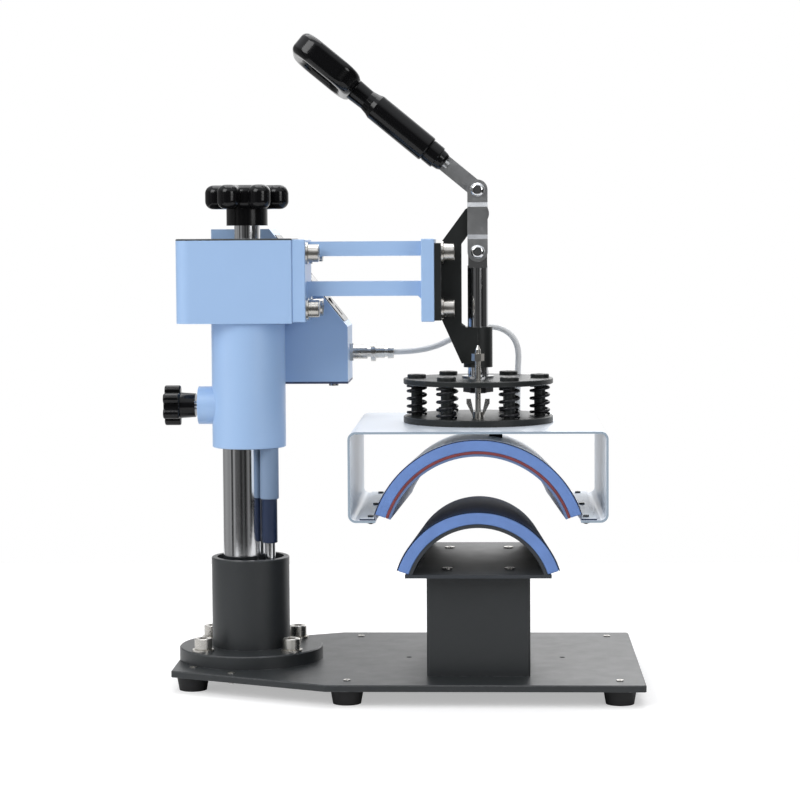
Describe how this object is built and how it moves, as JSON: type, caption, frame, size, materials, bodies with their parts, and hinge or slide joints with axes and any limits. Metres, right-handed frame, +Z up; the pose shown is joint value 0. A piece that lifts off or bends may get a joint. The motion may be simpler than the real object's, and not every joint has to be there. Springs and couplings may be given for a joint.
{
  "type": "shin guard heat press",
  "caption": "Bench press with curved heated upper platen, padded curved lower platen, swing-over toggle lever and height-adjustable column head.",
  "frame": {"origin": "On the bench, below the middle of the machine's length and depth.", "axes": "+X runs from the column to the press axis, +Y points away from the operator's side, +Z is up."},
  "size_m": [0.436, 0.27, 0.5944],
  "materials": {
    "dark_paint": "fine textured powder coat",
    "blue_paint": "satin powder coat",
    "box_base_paint": "satin",
    "black_paint": "satin",
    "spring_steel": "black oxide",
    "chrome": "polished",
    "zinc": "zinc plated",
    "dark_screws": "black oxide",
    "bronze": "satin",
    "navy_plastic": "satin",
    "black_plastic": "gloss",
    "key_plastic": "satin",
    "window": "gloss",
    "board": "satin",
    "pale_paint": "satin powder coat",
    "shell_paint": "satin paint",
    "foam_blue": "matte foam",
    "heater_maroon": "matte",
    "face_metal": "satin",
    "platen_steel": "satin",
    "cover_skin": "satin",
    "black_rubber": "matte",
    "cable_grey": "satin"
  },
  "bodies": {
    "base": {"base_plate": "dark_paint", "rubber_feet": "black_rubber", "foot_screws": "zinc", "column_socket": "dark_paint", "socket_bolts": "zinc", "column": "chrome", "column_nut": "bronze", "guide_rod": "chrome", "pedestal": "dark_paint", "pedestal_screws": "zinc", "lower_platen": "platen_steel", "lower_pad": "foam_blue", "lower_cover": "cover_skin"},
    "head": {"guide_tube": "blue_paint", "guide_bush": "navy_plastic", "sleeve": "blue_paint", "sleeve_bushes": "bronze", "head_box": "blue_paint", "head_cover": "dark_paint", "arm": "blue_paint", "arm_screws": "zinc", "toggle_frame": "black_paint", "pivot_pin": "zinc", "control_box": "blue_paint", "box_base": "box_base_paint", "box_screws": "zinc", "control_panel": "black_plastic", "display": "window", "control_board": "board", "power_inlet": "black_plastic", "connector": "zinc"},
    "top_knob": {"height_screw": "chrome", "top_knob": "black_plastic"},
    "lock_knob": {"lock_stud": "chrome", "lock_knob": "black_plastic"},
    "lever": {"lever": "chrome", "handle": "black_plastic"},
    "link": {"link_plates": "chrome", "link_pins": "chrome"},
    "plunger": {"plunger": "chrome", "hub_nut": "dark_screws", "upper_disc": "black_paint"},
    "platen": {"lower_disc": "black_paint", "shoulder_bolts": "black_paint", "springs": "spring_steel", "stud": "zinc", "stud_nuts": "zinc", "bracket": "pale_paint", "tab_screws": "dark_screws", "heated_face": "face_metal", "heater": "heater_maroon", "upper_foam": "foam_blue", "upper_shell": "shell_paint", "grommet": "black_rubber", "cable": "cable_grey", "terminal_block": "black_plastic"},
    "key_1": {"key_1": "key_plastic"},
    "key_2": {"key_2": "key_plastic"},
    "key_3": {"key_3": "key_plastic"},
    "rocker": {"rocker": "black_plastic"}
  },
  "joints": [
    {"name": "head_height", "type": "slide", "parent": "base", "child": "head", "axis": [0, 0, 1], "range_m": [0, 0.048]},
    {"name": "top_knob_turn", "type": "hinge", "parent": "head", "child": "top_knob", "pos_m": [-0.14, 0, 0.44], "axis": [0, 0, 1], "range_deg": [0, 2880]},
    {"name": "lock_knob_turn", "type": "hinge", "parent": "head", "child": "lock_knob", "pos_m": [-0.2, 0, 0.2555], "axis": [-1, 0, 0], "range_deg": [0, 180]},
    {"name": "lever_swing", "type": "hinge", "parent": "head", "child": "lever", "pos_m": [0.072, 0, 0.4307], "axis": [0, 1, 0], "range_deg": [0, 180]},
    {"name": "link_turn", "type": "hinge", "parent": "lever", "child": "link", "pos_m": [0.072, 0, 0.45215], "axis": [0, 1, 0], "range_deg": [-180, 0]},
    {"name": "plunger_slide", "type": "slide", "parent": "head", "child": "plunger", "axis": [0, 0, -1], "range_m": [0, 0.0429]},
    {"name": "platen_float", "type": "slide", "parent": "plunger", "child": "platen", "axis": [0, 0, 1], "range_m": [0, 0.008], "stiffness_N_per_m": 180000, "deforming": ["springs"]},
    {"name": "key_1_press", "type": "slide", "parent": "head", "child": "key_1", "axis": [-0.7834, 0, -0.6216], "range_m": [0, 0.001], "stiffness_N_per_m": 800},
    {"name": "key_2_press", "type": "slide", "parent": "head", "child": "key_2", "axis": [-0.7834, 0, -0.6216], "range_m": [0, 0.001], "stiffness_N_per_m": 800},
    {"name": "key_3_press", "type": "slide", "parent": "head", "child": "key_3", "axis": [-0.7834, 0, -0.6216], "range_m": [0, 0.001], "stiffness_N_per_m": 800},
    {"name": "rocker_tip", "type": "hinge", "parent": "head", "child": "rocker", "pos_m": [-0.06652, 0.074, 0.34265], "axis": [0, -1, 0], "range_deg": [0, 12]}
  ],
  "couplings": [
    {"joint": "top_knob_turn", "follows": "head_height", "rad_per_m": 1047.2},
    {"joint": "link_turn", "follows": "lever_swing", "ratio": -1},
    {"joint": "plunger_slide", "follows": "lever_swing", "m_per_rad": 0.013655}
  ]
}
